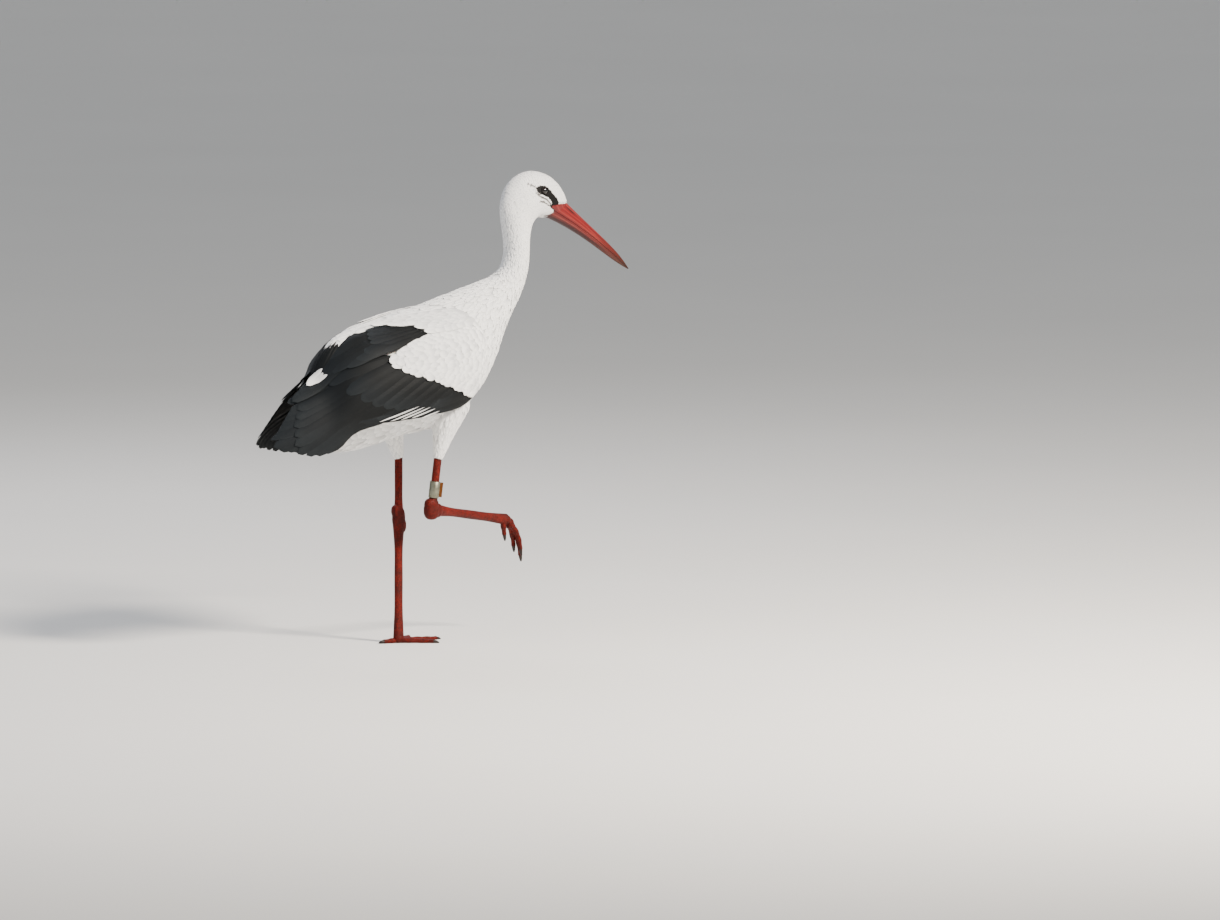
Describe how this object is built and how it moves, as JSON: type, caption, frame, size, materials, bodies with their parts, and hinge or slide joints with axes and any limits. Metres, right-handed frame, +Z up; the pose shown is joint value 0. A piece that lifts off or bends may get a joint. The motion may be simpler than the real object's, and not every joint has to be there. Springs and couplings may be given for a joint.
{
  "type": "white stork",
  "caption": "Life-size white stork standing on its left leg with the right one lifted, a still museum model with folded black and white wings, red bill and a leg ring.",
  "frame": {"origin": "middle of the bounding box's bottom face, on the floor", "axes": "+X the way the bird walks, +Y its left side, +Z up"},
  "size_m": [0.7434, 0.2044, 0.7676],
  "materials": {
    "white_plumage": "soft white contour feathers over the body",
    "black_plumage": "black flight feathers with a faint sheen",
    "bill": "smooth red horn",
    "leg": "orange-red scaled skin",
    "claw": "dark horn",
    "eye": "wet dark eye",
    "ring": "dull worn metal"
  },
  "bodies": {
    "root": {"head": "white_plumage", "neck_upper": "white_plumage", "neck_lower": "white_plumage", "trunk": "white_plumage", "tail": "white_plumage", "bill_upper": "bill", "bill_lower": "bill", "eye_left": "eye", "eye_right": "eye", "wing_left_scapulars": "white_plumage", "wing_left_coverts": "white_plumage", "wing_left_tertials": "black_plumage", "wing_left_secondaries": "black_plumage", "wing_left_primaries": "black_plumage", "wing_right_scapulars": "white_plumage", "wing_right_coverts": "white_plumage", "wing_right_tertials": "black_plumage", "wing_right_secondaries": "black_plumage", "wing_right_primaries": "black_plumage", "leg_left_thigh": "white_plumage", "leg_left_tibia": "leg", "leg_left_tarsus": "leg", "leg_left_toe_inner": "leg", "leg_left_toe_middle": "leg", "leg_left_toe_outer": "leg", "leg_left_toe_hind": "leg", "leg_left_claw_inner": "claw", "leg_left_claw_middle": "claw", "leg_left_claw_outer": "claw", "leg_left_claw_hind": "claw", "leg_right_thigh": "white_plumage", "leg_right_tibia": "leg", "leg_right_tarsus": "leg", "leg_right_toe_inner": "leg", "leg_right_toe_middle": "leg", "leg_right_toe_outer": "leg", "leg_right_toe_hind": "leg", "leg_right_claw_inner": "claw", "leg_right_claw_middle": "claw", "leg_right_claw_outer": "claw", "leg_right_claw_hind": "claw", "leg_ring": "ring"}
  },
  "joints": []
}
